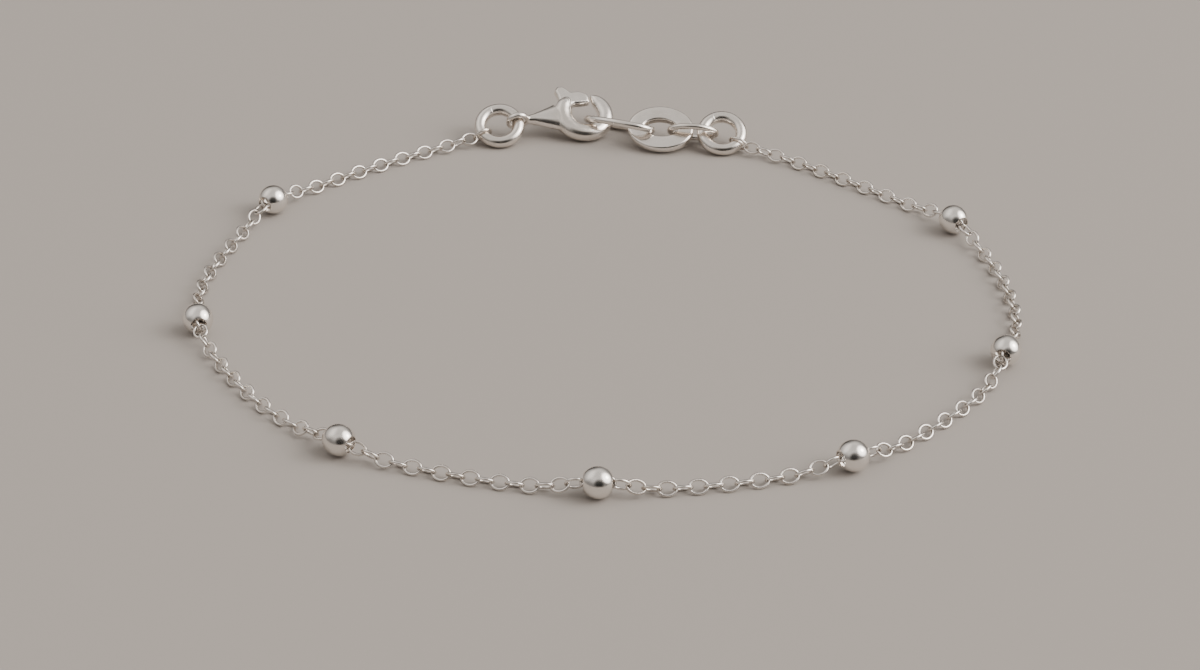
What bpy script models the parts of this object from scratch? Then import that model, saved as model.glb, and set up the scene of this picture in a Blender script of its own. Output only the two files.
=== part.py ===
"""Beaded chain bracelet: a closed loop of fine cable chain with seven drilled beads, jump rings, a tag and a lobster clasp.

Run by Blender 4.5. Lengths below are in millimetres and are turned into metres when a mesh is made.
The bracelet lies on the table, z = 0. +X runs from the left jump ring to the right one, +Y away from the viewer.
"""
import math

import bmesh
import bpy
import numpy as np
from mathutils import Matrix, Vector

for old in list(bpy.data.objects):
    bpy.data.objects.remove(old, do_unlink=True)

MM = 0.001

# Chain: oval wire links, each turned a quarter against its neighbour
PITCH = 1.16
WIRE_RADIUS = 0.12
WIRE_SIDES = 5
LINK_INNER_HALF_WIDTH = 0.42
END_LINK_HALF_WIDTH = 0.65
END_LINK_STRETCH = 0.34
CHAIN_REST_HEIGHT = 0.51
CHAIN_RISE_REACH = 4.2
CHAIN_RING_REACH = 6.0
BEAD_TIE_RADIUS = 0.14
CHAIN_SPLIT_GAP = 0.02
RING_ROLL = 18.0
RING_ROLL_LINKS = 5

# Beads: spheres cut flat by the drilled hole
BEAD_DIAMETER = 2.5
BEAD_HOLE_RADIUS = 0.665
BEAD_SIDES = 12
BEAD_BANDS = 6

# Jump rings, connector and small link: centre line radii and wire
JUMP_RING_RADIUS = 1.74
JUMP_RING_WIRE = 0.54
JUMP_RING_TILT = 30.0
CONNECTOR_HALF_LENGTH = 3.20
CONNECTOR_HALF_WIDTH = 1.90
CONNECTOR_WIRE = 0.32
CONNECTOR_TILT = -32.0
CONNECTOR_SHIFT = (0.0, -0.20)
CONNECTOR_JAW_ANGLE = -30.0
SMALL_LINK_HALF_LENGTH = 2.10
SMALL_LINK_HALF_WIDTH = 1.20
SMALL_LINK_WIRE = 0.27
SMALL_LINK_TILT = -52.0
SMALL_LINK_SHIFT = (-0.10, 0.0)
RING_SEGMENTS = 12
RING_SIDES = 6
THREAD_GAP = 0.11

# Oval tag
TAG_HALF_LENGTH = 3.00
TAG_HALF_WIDTH = 2.40
TAG_RIM = 1.48
TAG_THICKNESS = 0.80
TAG_EDGE = 0.28
TAG_TILT = 26.0
TAG_SEGMENTS = 16

# Lobster clasp, in its own frame: x from the tail to the mouth, z out of the flat side
JAW_RADIUS = 2.00
CLASP_TILT = 26.0
EYE_RADIUS = 0.88
EYE_WIRE = 0.22
SLOT_HALF = 0.50
LEVER_HALF = 0.42
PIVOT_ANGLE = 140.0
PIN_RADIUS = 0.25
PIN_CLEARANCE = 0.02
PIN_HALF = 0.78

# Where the pieces lie on the table, read from the photograph
RING_LEFT_CENTRE = Vector((-10.15, 26.53, 1.42))
RING_RIGHT_CENTRE = Vector((10.07, 26.37, 1.42))
JAW_CENTRE = Vector((-2.52, 28.72, 1.63))
TAG_CENTRE = Vector((4.50, 26.65, 1.48))
TAG_YAW = -6.0

# Chain route on the table: each string runs from one fixed point to the next through its own few points
BEAD_PLACES = [
    (-29.12, 11.91), (-33.00, -8.24), (-20.05, -25.25), (-0.32, -29.89),
    (19.04, -25.26), (32.23, -9.37), (29.89, 11.97),
]
ROUTE_BETWEEN = [
    [(-17.87, 21.91), (-25.01, 16.33)],
    [(-31.10, 7.51), (-33.36, -1.04)],
    [(-31.06, -12.79), (-26.46, -19.59)],
    [(-14.36, -27.49), (-7.70, -29.14)],
    [(6.94, -29.04), (13.64, -27.39)],
    [(23.44, -22.09), (29.44, -15.29)],
    [(33.74, -3.09), (32.74, 5.31)],
    [(25.74, 16.11), (16.94, 22.76)],
]
# Pitches in each string, and the first link that leans back as those in the photograph do
STRINGS = [
    {"pitches": 20, "leans_first": 1},
    {"pitches": 18, "leans_first": 2},
    {"pitches": 19, "leans_first": 1},
    {"pitches": 18, "leans_first": 1},
    {"pitches": 17, "leans_first": 2},
    {"pitches": 18, "leans_first": 2},
    {"pitches": 19, "leans_first": 2},
    {"pitches": 20, "leans_first": 2},
]


# Collections, materials and small mesh helpers
def new_collection(name):
    collection = bpy.data.collections.new(name)
    bpy.context.scene.collection.children.link(collection)
    return collection


BRACELET = new_collection("beaded_chain_bracelet")
CUTTERS = new_collection("cutters")


def metal(name, colour, roughness):
    material = bpy.data.materials.new(name)
    material.use_nodes = True
    shader = material.node_tree.nodes["Principled BSDF"]
    shader.inputs["Base Color"].default_value = (*colour, 1.0)
    shader.inputs["Metallic"].default_value = 1.0
    shader.inputs["Roughness"].default_value = roughness
    material.diffuse_color = (*colour, 1.0)
    return material


def add_object(name, bm, material, smooth=True, collection=BRACELET):
    bmesh.ops.recalc_face_normals(bm, faces=bm.faces[:])
    if bm.calc_volume(signed=True) < 0:
        bmesh.ops.reverse_faces(bm, faces=bm.faces[:])
    mesh = bpy.data.meshes.new(name)
    bmesh.ops.scale(bm, vec=(MM, MM, MM), verts=bm.verts[:])
    bm.to_mesh(mesh)
    bm.free()
    for polygon in mesh.polygons:
        polygon.use_smooth = smooth
    if material:
        mesh.materials.append(material)
    obj = bpy.data.objects.new(name, mesh)
    collection.objects.link(obj)
    return obj


def as_cutter(obj):
    obj.hide_render = True
    obj.display_type = "WIRE"
    return obj


def add_boolean(obj, cutter, operation):
    modifier = obj.modifiers.new(cutter.name, "BOOLEAN")
    modifier.operation = operation
    modifier.solver = "EXACT"
    modifier.object = cutter


def loft(bm, rings, closed):
    """Joins rings of points with quads; an open run gets a cap at each end."""
    rows = [[bm.verts.new(point) for point in ring] for ring in rings]
    count = len(rows)
    for i in range(count if closed else count - 1):
        here = rows[i]
        after = rows[(i + 1) % count]
        for j in range(len(here)):
            k = (j + 1) % len(here)
            bm.faces.new((here[j], here[k], after[k], after[j]))
    if not closed:
        bm.faces.new(list(reversed(rows[0])))
        bm.faces.new(rows[-1])
    return rows


def placed(centre, tilt, yaw=0.0):
    """A frame at centre, its far edge raised by tilt degrees about its own x, turned by yaw about z."""
    turn = Matrix.Rotation(math.radians(yaw), 4, "Z") @ Matrix.Rotation(math.radians(tilt), 4, "X")
    return Matrix.Translation(centre) @ turn


def between(start, end, tilt, shift):
    """A frame near the middle of two points, its x from one to the other and its far edge raised by tilt."""
    along = (end - start).normalized()
    level = Vector((0, 0, 1)).cross(along).normalized()
    far = level * math.cos(math.radians(tilt)) + along.cross(level) * math.sin(math.radians(tilt))
    turn = Matrix((along, far, along.cross(far))).transposed().to_4x4()
    return Matrix.Translation((start + end) / 2) @ turn @ Matrix.Translation((*shift, 0))


def direction(degrees):
    return Vector((math.cos(math.radians(degrees)), math.sin(math.radians(degrees)), 0.0))


SILVER = metal("silver_bead", (0.90, 0.87, 0.84), 0.08)
CHAIN_SILVER = metal("silver_chain", (0.88, 0.86, 0.83), 0.16)
CLASP_SILVER = metal("silver_clasp", (0.88, 0.84, 0.80), 0.20)
PIN_SILVER = metal("silver_pin", (0.78, 0.75, 0.72), 0.28)


# Chain route: a smooth curve through the fixed points, raised where it enters a bead
def ring_point(centre, degrees):
    return placed(centre, JUMP_RING_TILT) @ (direction(degrees) * JUMP_RING_RADIUS)


def catmull_rom(points, steps):
    """A smooth curve through all points, evenly stepped between each pair; returns it and the points' indices."""
    padded = [2 * points[0] - points[1]] + points + [2 * points[-1] - points[-2]]
    curve = []
    marks = []
    for i in range(1, len(padded) - 2):
        p0, p1, p2, p3 = padded[i - 1:i + 3]
        marks.append(len(curve))
        for j in range(steps):
            t = j / steps
            a = 2 * p1
            b = (p2 - p0) * t
            c = (2 * p0 - 5 * p1 + 4 * p2 - p3) * t ** 2
            d = (3 * p1 - p0 - 3 * p2 + p3) * t ** 3
            curve.append(0.5 * (a + b + c + d))
    marks.append(len(curve))
    curve.append(points[-1])
    return np.array(curve), marks


LEFT_HOLD = ring_point(RING_LEFT_CENTRE, 215.0)
RIGHT_HOLD = ring_point(RING_RIGHT_CENTRE, 325.0)
END_OVERLAP = JUMP_RING_WIRE + THREAD_GAP

flat_points = []
fixed = []
starts = [Vector((LEFT_HOLD.x, LEFT_HOLD.y))] + [Vector(p) for p in BEAD_PLACES]
for string, start in enumerate(starts):
    fixed.append(len(flat_points))
    flat_points.append(np.array(start))
    flat_points.extend(np.array(p) for p in ROUTE_BETWEEN[string])
fixed.append(len(flat_points))
flat_points.append(np.array((RIGHT_HOLD.x, RIGHT_HOLD.y)))
route, marks = catmull_rom(flat_points, 60)
marks = [marks[i] for i in fixed]
travelled = np.concatenate([[0.0], np.cumsum(np.linalg.norm(np.diff(route, axis=0), axis=1))])

heights = np.full(len(route), CHAIN_REST_HEIGHT)
for mark in marks[1:-1]:
    away = np.abs(travelled - travelled[mark]) - PITCH
    near = np.clip(1 - away / CHAIN_RISE_REACH, 0, 1)
    heights = np.maximum(heights, CHAIN_REST_HEIGHT + (BEAD_DIAMETER / 2 - CHAIN_REST_HEIGHT) * near ** 1.5)
for mark, hold in ((marks[0], LEFT_HOLD), (marks[-1], RIGHT_HOLD)):
    near = np.clip(1 - np.abs(travelled - travelled[mark]) / CHAIN_RING_REACH, 0, 1)
    heights = np.maximum(heights, CHAIN_REST_HEIGHT + (hold.z - CHAIN_REST_HEIGHT) * near ** 1.5)
route = np.column_stack([route, heights])


# Contacts: the points where one link bears on the next, evenly spaced along each string
def even_points(path, count):
    lengths = np.concatenate([[0.0], np.cumsum(np.linalg.norm(np.diff(path, axis=0), axis=1))])
    wanted = np.linspace(0.0, lengths[-1], count + 1)
    return [Vector([np.interp(w, lengths, path[:, axis]) for axis in range(3)]) for w in wanted]


strings = []
for number, string in enumerate(STRINGS):
    path = route[marks[number]:marks[number + 1] + 1]
    if number == 0:
        outward = (path[0] - path[12]) / np.linalg.norm(path[0] - path[12])
        path = np.vstack([path[0] + outward * (END_OVERLAP - END_LINK_STRETCH), path])
    if number == len(STRINGS) - 1:
        outward = (path[-1] - path[-13]) / np.linalg.norm(path[-1] - path[-13])
        path = np.vstack([path, path[-1] + outward * (END_OVERLAP - END_LINK_STRETCH)])
    points = even_points(path, string["pitches"])
    if number == 0:
        points[0] += Vector(outward * END_LINK_STRETCH)
    if number == len(STRINGS) - 1:
        points[-1] += Vector(outward * END_LINK_STRETCH)
    strings.append(points)


def contact_frame(before, here, after, roll):
    """The chain's direction at a contact and the two directions its links lie in."""
    along = (after - before).normalized()
    level = Vector((0, 0, 1)).cross(along).normalized()
    up = along.cross(level)
    angle = math.radians(45.0 + roll)
    first = level * math.cos(angle) + up * math.sin(angle)
    return {"at": here, "along": along, "first": first, "second": along.cross(first)}


# A link's outline: inner edge points and outward directions for one end, then mirrored
SECTION_SIDE = 2 * WIRE_RADIUS * math.sin(math.pi / WIRE_SIDES)
SECTION = []
for corner in range(WIRE_SIDES):
    turn = math.pi - math.pi / WIRE_SIDES - corner * 2 * math.pi / WIRE_SIDES
    out = WIRE_RADIUS * (math.cos(turn) + math.cos(math.pi / WIRE_SIDES))
    SECTION.append((out, WIRE_RADIUS * math.sin(turn)))
QUARTER = [
    {"along": 1.00, "across": None, "faces": 0.0},
    {"along": 0.66, "across": 0.76, "faces": 50.0},
    {"along": 0.00, "across": 1.00, "faces": 90.0},
]


def link_stations(half_length, half_width):
    quarter = []
    for row in QUARTER:
        across = SECTION_SIDE / 2 if row["across"] is None else row["across"] * half_width
        quarter.append((row["along"] * half_length, across, row["faces"]))
    left = [(-x, y, 180.0 - a) for x, y, a in reversed(quarter[:2])]
    half = quarter + left
    other = [(x, -y, -a) for x, y, a in reversed(half)]
    return half + other


def add_link(bm, start, end, uses_first, start_joint, end_joint):
    """One oval link from contact to contact.

    A joint "link" leaves out the end's inner quad, which welds to the next link. A joint "tie" opens
    the outside of the end for the wire inside a bead. A joint "ring" leaves the end whole.
    """
    middle = (start["at"] + end["at"]) / 2
    along = (end["at"] - start["at"]).normalized()
    lean = (start["first"] + end["first"]) if uses_first else (start["second"] + end["second"])
    across = (lean - along * lean.dot(along)).normalized()
    through = along.cross(across)
    half_length = (end["at"] - start["at"]).length / 2
    rows = []
    half_width = END_LINK_HALF_WIDTH if "ring" in (start_joint, end_joint) else LINK_INNER_HALF_WIDTH
    for x, y, faces in link_stations(half_length, half_width):
        outward = along * math.cos(math.radians(faces)) + across * math.sin(math.radians(faces))
        base = middle + along * x + across * y
        row = []
        for index, (out, side) in enumerate(SECTION):
            point = base + outward * out + through * side
            if index in (0, WIRE_SIDES - 1) and abs(abs(x) - half_length) < 1e-6:
                contact = end if x > 0 else start
                lean_here = contact["first"] if uses_first else contact["second"]
                through_here = contact["along"].cross(lean_here)
                point = contact["at"] + lean_here * y + through_here * side
            row.append(bm.verts.new(point))
        rows.append(row)
    joints = {4: start_joint, len(rows) - 1: end_joint}
    for i in range(len(rows)):
        after = rows[(i + 1) % len(rows)]
        joint = joints.get(i)
        for j in range(WIRE_SIDES):
            k = (j + 1) % WIRE_SIDES
            if joint == "link" and j == WIRE_SIDES - 1:
                continue
            if joint == "tie" and j in (1, 2):
                continue
            bm.faces.new((rows[i][j], rows[i][k], after[k], after[j]))
    return [rows[i][j] for i, j in ((4, 1), (4, 2), (4, 3), (5, 3), (5, 2), (5, 1))], \
        [rows[i][j] for i, j in ((0, 1), (0, 2), (0, 3), (-1, 3), (-1, 2), (-1, 1))]


def tie_row(bm, corners, centre):
    """Six points of the tie's full thickness, in the same turn as the six corners of a link's end."""
    axis = sum((corner.co for corner in corners), Vector()) / 6 - centre
    axis.normalize()
    row = []
    for corner in corners:
        out = corner.co - centre
        out = (out - axis * out.dot(axis)).normalized()
        row.append(bm.verts.new(centre + out * BEAD_TIE_RADIUS))
    return row


def bridge_rows(bm, here, after):
    """Joins two rows of six points that turn about the same axis, starting from the nearest pair."""
    axis = sum((v.co for v in after), Vector()) - sum((v.co for v in here), Vector())
    turns = []
    for row in (here, after):
        centre = sum((v.co for v in row), Vector()) / 6
        turn = (row[0].co - centre).cross(row[1].co - centre).dot(axis)
        turns.append(turn > 0)
    if turns[0] != turns[1]:
        after = list(reversed(after))
    best = min(range(6), key=lambda s: sum((here[i].co - after[(i + s) % 6].co).length for i in range(6)))
    for i in range(6):
        k = (i + 1) % 6
        bm.faces.new((here[i], here[k], after[(k + best) % 6], after[(i + best) % 6]))


def add_tie(bm, before, after):
    """The hidden wire inside a bead, from one string's last link to the next one's first link.

    Where one side is None the tie ends in a flat face, half the split gap short of the bead's middle.
    """
    ends = {}
    for side, corners in (("before", before["corners"]), ("after", after["corners"])):
        if corners:
            middle = sum((corner.co for corner in corners), Vector()) / 6
            inner = middle.lerp(before["middle"], 0.2)
            ends[side] = tie_row(bm, corners, inner)
            bridge_rows(bm, corners, ends[side])
    if len(ends) == 2:
        bridge_rows(bm, ends["before"], ends["after"])
        return
    side, corners = list(ends.items())[0]
    outward = (corners[0].co + corners[3].co) / 2 - before["middle"]
    stop = before["middle"] + outward.normalized() * CHAIN_SPLIT_GAP / 2
    shift = stop - (corners[0].co + corners[3].co) / 2
    cap = [bm.verts.new(corner.co + shift) for corner in corners]
    bridge_rows(bm, corners, cap)
    bm.faces.new(cap)


def roll_for(string, index, pitches):
    """Extra roll that turns the links next to a jump ring square to its wire."""
    if string == 0:
        return RING_ROLL * max(0.0, 1 - index / RING_ROLL_LINKS)
    if string == len(STRINGS) - 1:
        return RING_ROLL * max(0.0, 1 - (pitches - index) / RING_ROLL_LINKS)
    return 0.0


all_contacts = []
for number, points in enumerate(strings):
    pitches = STRINGS[number]["pitches"]
    frames = []
    for index, here in enumerate(points):
        before = points[max(index - 1, 0)]
        after = points[min(index + 1, pitches)]
        frames.append(contact_frame(before, here, after, roll_for(number, index, pitches)))
    all_contacts.append(frames)


def leans_back_first(contact):
    """True where the first of the two link directions is the one that leans away from the viewer."""
    return contact["first"].y >= contact["second"].y


def build_chain(name, numbers):
    """A run of strings fused into one body, with a tie through each bead between them."""
    bm = bmesh.new()
    loose = None
    for number in numbers:
        frames = all_contacts[number]
        pitches = STRINGS[number]["pitches"]
        first_link = 0 if number == 0 else 1
        last_link = pitches - 1 if number == len(STRINGS) - 1 else pitches - 2
        leans_first = leans_back_first(frames[pitches // 2])
        for index in range(first_link, last_link + 1):
            leans = (index - STRINGS[number]["leans_first"]) % 2 == 0
            start_joint = "link"
            end_joint = "link"
            if index == first_link:
                start_joint = "ring" if number == 0 else "tie"
            if index == last_link:
                end_joint = "ring" if number == len(STRINGS) - 1 else "tie"
            corners = add_link(bm, frames[index], frames[index + 1], leans == leans_first, start_joint, end_joint)
            if start_joint == "tie":
                middle = (all_contacts[number - 1][-2]["at"] + frames[1]["at"]) / 2
                add_tie(bm, {"corners": loose, "middle": middle}, {"corners": corners[0]})
            if end_joint == "tie":
                loose = corners[1]
    if numbers[-1] < len(STRINGS) - 1:
        middle = (all_contacts[numbers[-1]][-2]["at"] + all_contacts[numbers[-1] + 1][1]["at"]) / 2
        add_tie(bm, {"corners": loose, "middle": middle}, {"corners": None})
    bmesh.ops.remove_doubles(bm, verts=bm.verts[:], dist=0.0005)
    return add_object(name, bm, CHAIN_SILVER)


build_chain("chain_left", [0, 1, 2, 3])
build_chain("chain_right", [4, 5, 6, 7])


# Beads: a profile spun about the drilled hole
def build_bead(name, centre, along):
    radius = BEAD_DIAMETER / 2
    rim = math.asin(BEAD_HOLE_RADIUS / radius)
    bm = bmesh.new()
    profile = []
    for band in range(BEAD_BANDS + 1):
        angle = rim + (math.pi - 2 * rim) * band / BEAD_BANDS
        profile.append(bm.verts.new((radius * math.cos(angle), 0.0, -radius * math.sin(angle))))
    edges = [bm.edges.new(pair) for pair in zip(profile, profile[1:])]
    edges.append(bm.edges.new((profile[-1], profile[0])))
    bmesh.ops.spin(bm, geom=profile + edges, axis=(1, 0, 0), cent=(0, 0, 0), steps=BEAD_SIDES, angle=2 * math.pi)
    bmesh.ops.remove_doubles(bm, verts=bm.verts[:], dist=0.0005)
    level = Vector((0, 0, 1)).cross(along).normalized()
    turn = Matrix((along, level, Vector((0, 0, 1)))).transposed().to_4x4()
    bm.transform(Matrix.Translation(centre) @ turn)
    return add_object(name, bm, SILVER)


for number in range(len(BEAD_PLACES)):
    before = all_contacts[number][-2]["at"]
    after = all_contacts[number + 1][1]["at"]
    along = Vector((after.x - before.x, after.y - before.y, 0)).normalized()
    centre = (before + after) / 2
    centre.z = BEAD_DIAMETER / 2
    build_bead("bead_%d" % (number + 1), centre, along)


# Jump rings, connector ring and small link: round wire swept round an oval
def oval_ring(name, frame, half_length, half_width, wire, segments, sides, material):
    rings = []
    for i in range(segments):
        t = 2 * math.pi * (i + 0.5) / segments
        centre = Vector((half_length * math.cos(t), half_width * math.sin(t), 0))
        outward = Vector((half_width * math.cos(t), half_length * math.sin(t), 0)).normalized()
        ring = []
        for j in range(sides):
            turn = 2 * math.pi * j / sides
            ring.append(centre + outward * wire * math.cos(turn) + Vector((0, 0, wire * math.sin(turn))))
        rings.append(ring)
    bm = bmesh.new()
    loft(bm, rings, True)
    bm.transform(frame)
    return add_object(name, bm, material)


oval_ring("jump_ring_left", placed(RING_LEFT_CENTRE, JUMP_RING_TILT), JUMP_RING_RADIUS, JUMP_RING_RADIUS,
          JUMP_RING_WIRE, RING_SEGMENTS, RING_SIDES, CLASP_SILVER)
oval_ring("jump_ring_right", placed(RING_RIGHT_CENTRE, JUMP_RING_TILT), JUMP_RING_RADIUS, JUMP_RING_RADIUS,
          JUMP_RING_WIRE, RING_SEGMENTS, RING_SIDES, CLASP_SILVER)


# Oval tag: a thick flat rim round a small hole
TAG_FRAME = placed(TAG_CENTRE, TAG_TILT, TAG_YAW)


def build_tag():
    half = TAG_THICKNESS / 2
    rings = []
    for i in range(TAG_SEGMENTS):
        t = 2 * math.pi * (i + 0.5) / TAG_SEGMENTS
        outer = Vector((TAG_HALF_LENGTH * math.cos(t), TAG_HALF_WIDTH * math.sin(t), 0))
        normal = Vector((TAG_HALF_WIDTH * math.cos(t), TAG_HALF_LENGTH * math.sin(t), 0)).normalized()
        rows = [(0, half - TAG_EDGE), (TAG_EDGE, half), (TAG_RIM - TAG_EDGE, half), (TAG_RIM, half - TAG_EDGE)]
        rows += [(depth, -height) for depth, height in reversed(rows)]
        rings.append([outer - normal * depth + Vector((0, 0, height)) for depth, height in rows])
    bm = bmesh.new()
    loft(bm, rings, True)
    bm.transform(TAG_FRAME)
    return add_object("oval_tag", bm, CLASP_SILVER, smooth=False)


build_tag()

# Lobster clasp: its frame points from the eye, held on the left jump ring, to the jaw
EYE_CENTRE = ring_point(RING_LEFT_CENTRE, 20.0)
tail = EYE_CENTRE - JAW_CENTRE
TAIL_LENGTH = tail.length
clasp_x = -tail.normalized()
level_y = Vector((0, 0, 1)).cross(clasp_x).normalized()
upright = clasp_x.cross(level_y)
tilt = math.radians(CLASP_TILT)
clasp_y = level_y * math.cos(tilt) + upright * math.sin(tilt)
clasp_z = clasp_x.cross(clasp_y)
CLASP_FRAME = Matrix.Translation(JAW_CENTRE) @ Matrix((clasp_x, clasp_y, clasp_z)).transposed().to_4x4()
PIVOT = direction(PIVOT_ANGLE) * JAW_RADIUS

# Connector ring from the jaw to the tag, and the small link from the tag to the right jump ring
JAW_HOLD = CLASP_FRAME @ (direction(CONNECTOR_JAW_ANGLE) * JAW_RADIUS)
RIM_MIDDLE = Vector((TAG_HALF_LENGTH - TAG_RIM / 2, 0, 0))
CONNECTOR_FRAME = between(JAW_HOLD, TAG_FRAME @ -RIM_MIDDLE, CONNECTOR_TILT, CONNECTOR_SHIFT)
RIGHT_RING_EDGE = ring_point(RING_RIGHT_CENTRE, 180.0)
SMALL_LINK_FRAME = between(TAG_FRAME @ RIM_MIDDLE, RIGHT_RING_EDGE, SMALL_LINK_TILT, SMALL_LINK_SHIFT)
oval_ring("connector_ring", CONNECTOR_FRAME, CONNECTOR_HALF_LENGTH, CONNECTOR_HALF_WIDTH,
          CONNECTOR_WIRE, RING_SEGMENTS, RING_SIDES, CLASP_SILVER)
oval_ring("small_link", SMALL_LINK_FRAME, SMALL_LINK_HALF_LENGTH, SMALL_LINK_HALF_WIDTH,
          SMALL_LINK_WIRE, RING_SEGMENTS, RING_SIDES, CLASP_SILVER)

# The jaw from the mouth's back edge round to its tip; reach, width and thick are shares of the jaw's radius
JAW_SECTIONS = [
    {"angle": 122.0, "reach": 1.00, "width": 0.240, "thick": 0.300},
    {"angle": 130.0, "reach": 1.00, "width": 0.330, "thick": 0.390},
    {"angle": 146.0, "reach": 1.00, "width": 0.420, "thick": 0.430},
    {"angle": 170.0, "reach": 1.00, "width": 0.480, "thick": 0.440},
    {"angle": 200.0, "reach": 1.00, "width": 0.465, "thick": 0.420},
    {"angle": 230.0, "reach": 1.00, "width": 0.440, "thick": 0.400},
    {"angle": 260.0, "reach": 1.00, "width": 0.415, "thick": 0.380},
    {"angle": 290.0, "reach": 1.00, "width": 0.400, "thick": 0.370},
    {"angle": 320.0, "reach": 1.00, "width": 0.390, "thick": 0.360},
    {"angle": 350.0, "reach": 1.00, "width": 0.385, "thick": 0.350},
    {"angle": 378.0, "reach": 1.00, "width": 0.370, "thick": 0.330},
    {"angle": 402.0, "reach": 1.01, "width": 0.310, "thick": 0.290},
    {"angle": 414.0, "reach": 1.03, "width": 0.225, "thick": 0.240},
    {"angle": 423.0, "reach": 1.10, "width": 0.075, "thick": 0.150},
]
# The neck from the eye's edge (along 0) to inside the jaw (along 1); the other columns as above
NECK_SECTIONS = [
    {"along": 0.00, "width": 0.190, "thick": 0.210},
    {"along": 0.17, "width": 0.260, "thick": 0.260},
    {"along": 0.48, "width": 0.480, "thick": 0.330},
    {"along": 0.74, "width": 0.670, "thick": 0.380},
    {"along": 0.87, "width": 0.690, "thick": 0.385},
    {"along": 1.00, "width": 0.620, "thick": 0.360},
]
NECK_START = EYE_RADIUS - TAIL_LENGTH
NECK_END = -0.875 * JAW_RADIUS
# The slot that the lever sits in, shares of the jaw's radius
SLOT_LENGTH = 1.60
SLOT_DEPTH = 2.00
SLOT_ALONG = -0.51
SLOT_UP = 1.31
CLASP_SIDES = 8


def section_ring(centre, outward, through, width, thick, sides):
    ring = []
    for j in range(sides):
        turn = 2 * math.pi * (j + 0.5) / sides
        ring.append(centre + outward * width * math.cos(turn) + through * thick * math.sin(turn))
    return ring


def build_clasp_body():
    z = Vector((0, 0, 1))
    bm = bmesh.new()
    rings = []
    for row in JAW_SECTIONS:
        out = direction(row["angle"])
        width = row["width"] * JAW_RADIUS
        thick = row["thick"] * JAW_RADIUS
        centre = out * row["reach"] * JAW_RADIUS
        rings.append(section_ring(centre, out, z, width, thick, CLASP_SIDES))
    loft(bm, rings, False)
    bm.transform(CLASP_FRAME)
    body = add_object("clasp_body", bm, CLASP_SILVER)

    bm = bmesh.new()
    rings = []
    for row in NECK_SECTIONS:
        centre = Vector((NECK_START + row["along"] * (NECK_END - NECK_START), 0, 0))
        width = row["width"] * JAW_RADIUS
        thick = row["thick"] * JAW_RADIUS
        rings.append(section_ring(centre, Vector((0, 1, 0)), z, width, thick, CLASP_SIDES))
    loft(bm, rings, False)
    bm.transform(CLASP_FRAME)
    add_boolean(body, as_cutter(add_object("clasp_neck", bm, None, collection=CUTTERS)), "UNION")

    bm = bmesh.new()
    rings = []
    for i in range(10):
        out = direction(36.0 * (i + 0.5))
        out = Vector((out.x, 0, out.y))
        centre = Vector((-TAIL_LENGTH, 0, 0)) + out * EYE_RADIUS
        rings.append(section_ring(centre, out, Vector((0, 1, 0)), EYE_WIRE, EYE_WIRE * 1.3, 6))
    loft(bm, rings, True)
    bm.transform(CLASP_FRAME)
    add_boolean(body, as_cutter(add_object("clasp_eye", bm, None, collection=CUTTERS)), "UNION")

    bm = bmesh.new()
    bmesh.ops.create_cube(bm, size=1.0)
    slot = (SLOT_LENGTH * JAW_RADIUS, SLOT_DEPTH * JAW_RADIUS, 2 * SLOT_HALF)
    bmesh.ops.scale(bm, vec=slot, verts=bm.verts[:])
    bmesh.ops.translate(bm, vec=(SLOT_ALONG * JAW_RADIUS, SLOT_UP * JAW_RADIUS, 0), verts=bm.verts[:])
    bm.transform(CLASP_FRAME)
    add_boolean(body, as_cutter(add_object("lever_slot", bm, None, collection=CUTTERS)), "DIFFERENCE")

    add_boolean(body, pin_solid("pin_hole", PIN_RADIUS + PIN_CLEARANCE, JAW_RADIUS, None, CUTTERS), "DIFFERENCE")
    return body


def pin_solid(name, radius, half_length, material, collection):
    bm = bmesh.new()
    bmesh.ops.create_cone(bm, cap_ends=True, segments=10, radius1=radius, radius2=radius, depth=2 * half_length)
    bmesh.ops.translate(bm, vec=PIVOT, verts=bm.verts[:])
    bm.transform(CLASP_FRAME)
    obj = add_object(name, bm, material, collection=collection)
    return as_cutter(obj) if collection is CUTTERS else obj


build_clasp_body()
pin_solid("clasp_pin", PIN_RADIUS, PIN_HALF, PIN_SILVER, BRACELET)

# Clasp lever: a flat arm that closes the mouth, a round root on the pin and a thumb nub.
# Each point is a share of the jaw's radius and an angle, from the jaw's centre or, at the root, from the pin.
LEVER_OUTLINE = [
    ("arm", 0.700, 57.0), ("arm", 0.960, 64.5), ("arm", 1.150, 71.0), ("arm", 1.280, 90.0), ("arm", 1.320, 107.0),
    ("nub", 1.560, 110.0), ("nub", 1.790, 114.0), ("nub", 1.880, 121.0), ("nub", 1.790, 128.0), ("nub", 1.500, 133.0),
    ("root", 0.270, 160.0), ("root", 0.270, 215.0), ("root", 0.270, 270.0), ("root", 0.270, 320.0),
    ("arm", 0.660, 120.0), ("arm", 0.560, 98.0), ("arm", 0.580, 74.0),
]


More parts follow.
